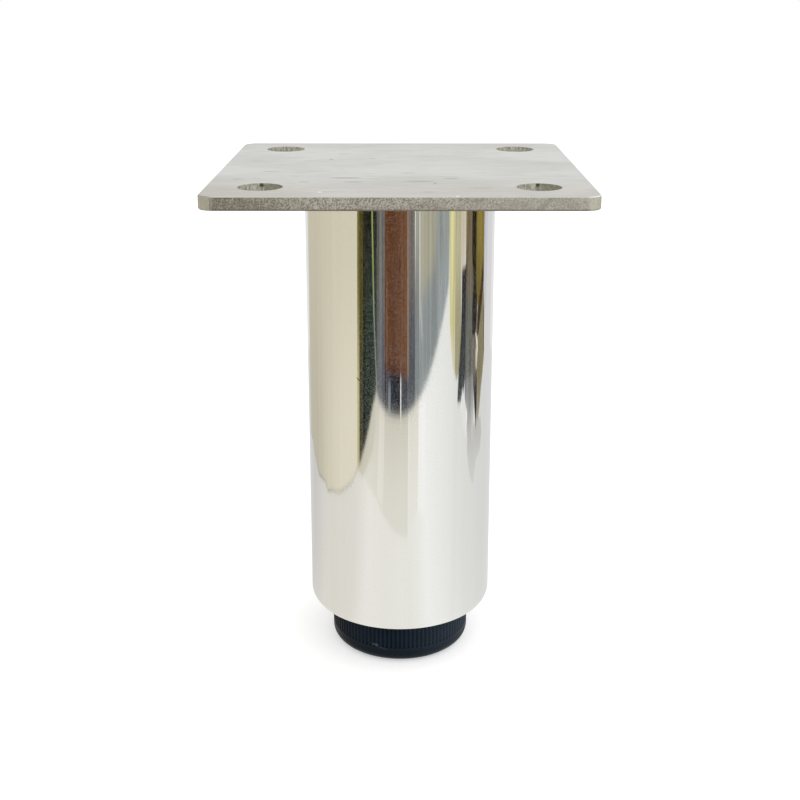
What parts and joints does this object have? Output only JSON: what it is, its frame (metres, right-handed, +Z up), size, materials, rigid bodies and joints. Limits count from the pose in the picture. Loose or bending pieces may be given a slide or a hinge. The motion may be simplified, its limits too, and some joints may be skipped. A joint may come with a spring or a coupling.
{
  "type": "furniture leg",
  "caption": "Polished round stainless steel furniture leg with a square bolt-on plate on top and a ribbed screw-in levelling foot below.",
  "frame": {"origin": "on the floor, under the middle of the foot", "axes": "+Z up along the tube's axis towards the plate, +X and +Y along the plate's sides"},
  "size_m": [0.0888, 0.0888, 0.1295],
  "materials": {
    "plate_steel": "mill-finished stainless sheet with fine lengthwise marks and laser-cut edges",
    "polished_steel": "mirror-polished stainless tube with fine lines round it",
    "weld_metal": "rippled fillet weld, lightly brushed",
    "plain_steel": "plain machined steel",
    "black_plastic": "satin black moulded plastic"
  },
  "bodies": {
    "leg": {"mounting_plate": "plate_steel", "leg_tube": "polished_steel", "plate_weld": "weld_metal", "end_disc": "plain_steel", "disc_tacks": "weld_metal", "weld_nut": "plain_steel"},
    "screw": {"levelling_stud": "plain_steel"},
    "foot": {"levelling_foot": "black_plastic"}
  },
  "joints": [
    {"name": "foot_travel", "type": "slide", "parent": "leg", "child": "screw", "axis": [0, 0, -1], "range_m": [0, 0.0201]},
    {"name": "foot_turn", "type": "hinge", "parent": "screw", "child": "foot", "pos_m": [0, 0, 0], "axis": [0, 0, -1], "range_deg": [0, 4800]}
  ],
  "couplings": [
    {"joint": "foot_travel", "follows": "foot_turn", "m_per_rad": 0.00023873}
  ]
}
